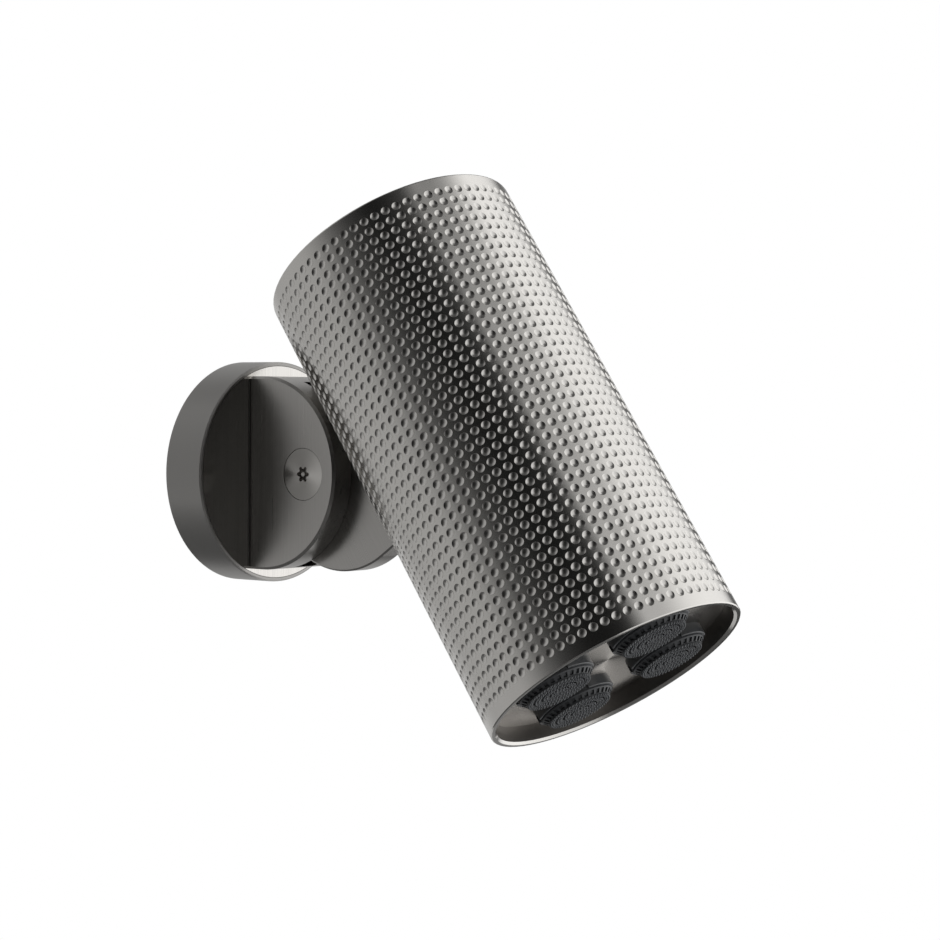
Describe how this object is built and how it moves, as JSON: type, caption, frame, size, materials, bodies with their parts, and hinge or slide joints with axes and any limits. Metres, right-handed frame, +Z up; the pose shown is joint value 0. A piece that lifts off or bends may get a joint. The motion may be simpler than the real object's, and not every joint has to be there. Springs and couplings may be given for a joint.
{
  "type": "shower head",
  "caption": "Wall mounted shower head: a tube with recessed spray faces, hung on a fork and blade hinge from a round wall rose, its tilt set by hand.",
  "frame": {"origin": "centre of the rose on the wall plane", "axes": "+Z up, +Y into the wall along the inlet thread, the head stands out towards -Y"},
  "size_m": [0.08, 0.1953, 0.1684],
  "materials": {
    "brushed_steel": "brushed stainless steel",
    "turned_steel": "stainless steel with circular turning marks",
    "plain_steel": "plain",
    "brass": "machined",
    "collar_plastic": "satin dark slate grey",
    "spray_rubber": "matt dark slate grey silicone",
    "seal_rubber": "matt black",
    "inner_plastic": "natural"
  },
  "bodies": {
    "wall_side": {"wall_nipple": "brass", "nipple_o_ring": "seal_rubber", "inlet_strainer": "plain_steel", "flow_regulator": "inner_plastic", "wall_gasket": "seal_rubber", "rose_cover": "brushed_steel", "rose_grub_screw": "plain_steel", "hinge_base": "brushed_steel", "pivot_screw": "turned_steel", "pivot_o_rings": "seal_rubber", "pivot_nut": "turned_steel"},
    "head": {"hinge_blade": "brushed_steel", "friction_washers": "inner_plastic", "head_tube": "brushed_steel", "end_cap": "turned_steel", "backing_saddle": "plain_steel", "saddle_screws": "plain_steel", "feed_union": "brass", "union_o_ring": "seal_rubber", "feed_pipe": "plain_steel", "pipe_nuts": "brass", "core_rods": "plain_steel", "core_nuts": "plain_steel", "manifold_body": "inner_plastic", "manifold_o_ring": "seal_rubber", "manifold_cover": "inner_plastic", "face_plate": "turned_steel", "collar_o_rings": "seal_rubber", "spray_collar_1": "collar_plastic", "spray_collar_2": "collar_plastic", "spray_collar_3": "collar_plastic", "spray_collar_4": "collar_plastic", "spray_face_1": "spray_rubber", "spray_face_2": "spray_rubber", "spray_face_3": "spray_rubber", "spray_face_4": "spray_rubber"}
  },
  "joints": [
    {"name": "head_tilt", "type": "hinge", "parent": "wall_side", "child": "head", "pos_m": [0, -0.0381, 0], "axis": [-1, 0, 0], "range_deg": [-35, 10]}
  ]
}
